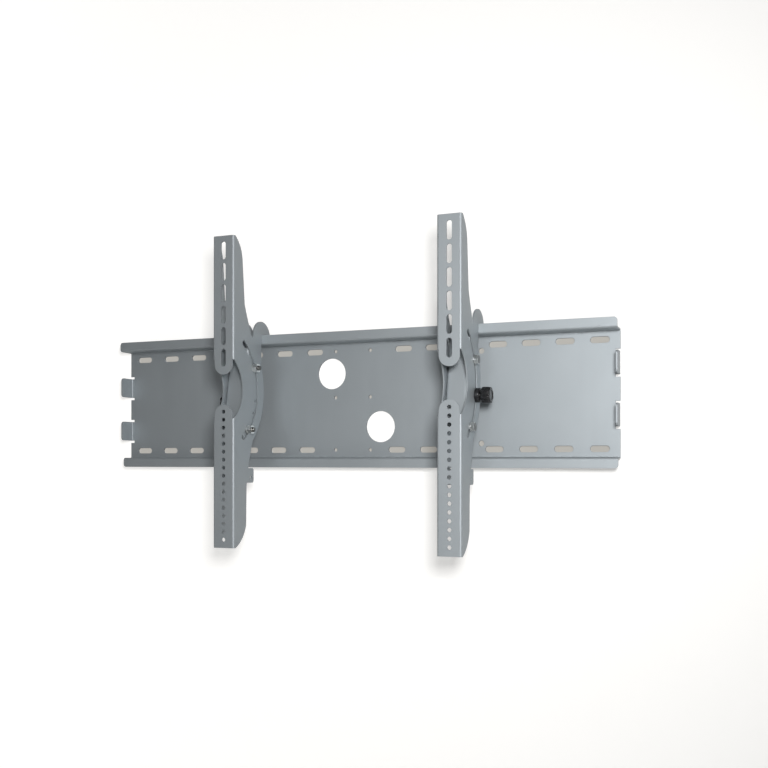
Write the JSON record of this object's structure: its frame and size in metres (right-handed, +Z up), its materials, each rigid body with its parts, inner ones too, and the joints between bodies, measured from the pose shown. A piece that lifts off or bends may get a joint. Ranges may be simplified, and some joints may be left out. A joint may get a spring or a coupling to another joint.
{
  "type": "tilting tv wall bracket",
  "caption": "Long folded steel wall plate with upright television arms that hook over its top lip, slide along it, tilt on curved slots and are clamped by side knobs.",
  "frame": {"origin": "middle of the wall plate's back face, on the wall", "axes": "+X along the wall plate, +Y into the wall, +Z up; the television hangs towards -Y"},
  "size_m": [0.87, 0.112, 0.488],
  "materials": {
    "silver_paint": "satin",
    "zinc_plate": "bright",
    "black_plastic": "gloss"
  },
  "bodies": {
    "plate": {"wall_plate": "silver_paint"},
    "left_hanger": {"left_carriage": "silver_paint", "left_upper_bolt": "zinc_plate", "left_lower_bolt": "zinc_plate", "left_upper_nut": "zinc_plate", "left_lower_nut": "zinc_plate", "left_upper_washers": "zinc_plate", "left_lower_washers": "zinc_plate", "left_upper_spacer": "zinc_plate", "left_lower_spacer": "zinc_plate", "left_clamp_nut": "zinc_plate"},
    "left_arm": {"left_arm": "silver_paint"},
    "left_knob": {"left_knob": "black_plastic", "left_knob_stud": "zinc_plate", "left_knob_washer": "zinc_plate"},
    "right_hanger": {"right_carriage": "silver_paint", "right_upper_bolt": "zinc_plate", "right_lower_bolt": "zinc_plate", "right_upper_nut": "zinc_plate", "right_lower_nut": "zinc_plate", "right_upper_washers": "zinc_plate", "right_lower_washers": "zinc_plate", "right_upper_spacer": "zinc_plate", "right_lower_spacer": "zinc_plate", "right_clamp_nut": "zinc_plate"},
    "right_arm": {"right_arm": "silver_paint"},
    "right_knob": {"right_knob": "black_plastic", "right_knob_stud": "zinc_plate", "right_knob_washer": "zinc_plate"}
  },
  "joints": [
    {"name": "left_slide", "type": "slide", "parent": "plate", "child": "left_hanger", "axis": [1, 0, 0], "range_m": [-0.23, 0.12]},
    {"name": "left_tilt", "type": "hinge", "parent": "left_hanger", "child": "left_arm", "pos_m": [-0.1665, -0.142, 0.015], "axis": [1, 0, 0], "range_deg": [-15, 10]},
    {"name": "left_knob_turn", "type": "hinge", "parent": "left_hanger", "child": "left_knob", "pos_m": [-0.1665, -0.04929, -0.00051], "axis": [1, 0, 0], "range_deg": [0, 360]},
    {"name": "right_slide", "type": "slide", "parent": "plate", "child": "right_hanger", "axis": [1, 0, 0], "range_m": [-0.15, 0.19]},
    {"name": "right_tilt", "type": "hinge", "parent": "right_hanger", "child": "right_arm", "pos_m": [0.21, -0.142, 0.015], "axis": [1, 0, 0], "range_deg": [-15, 10]},
    {"name": "right_knob_turn", "type": "hinge", "parent": "right_hanger", "child": "right_knob", "pos_m": [0.21, -0.04929, -0.00051], "axis": [1, 0, 0], "range_deg": [0, 360]}
  ]
}
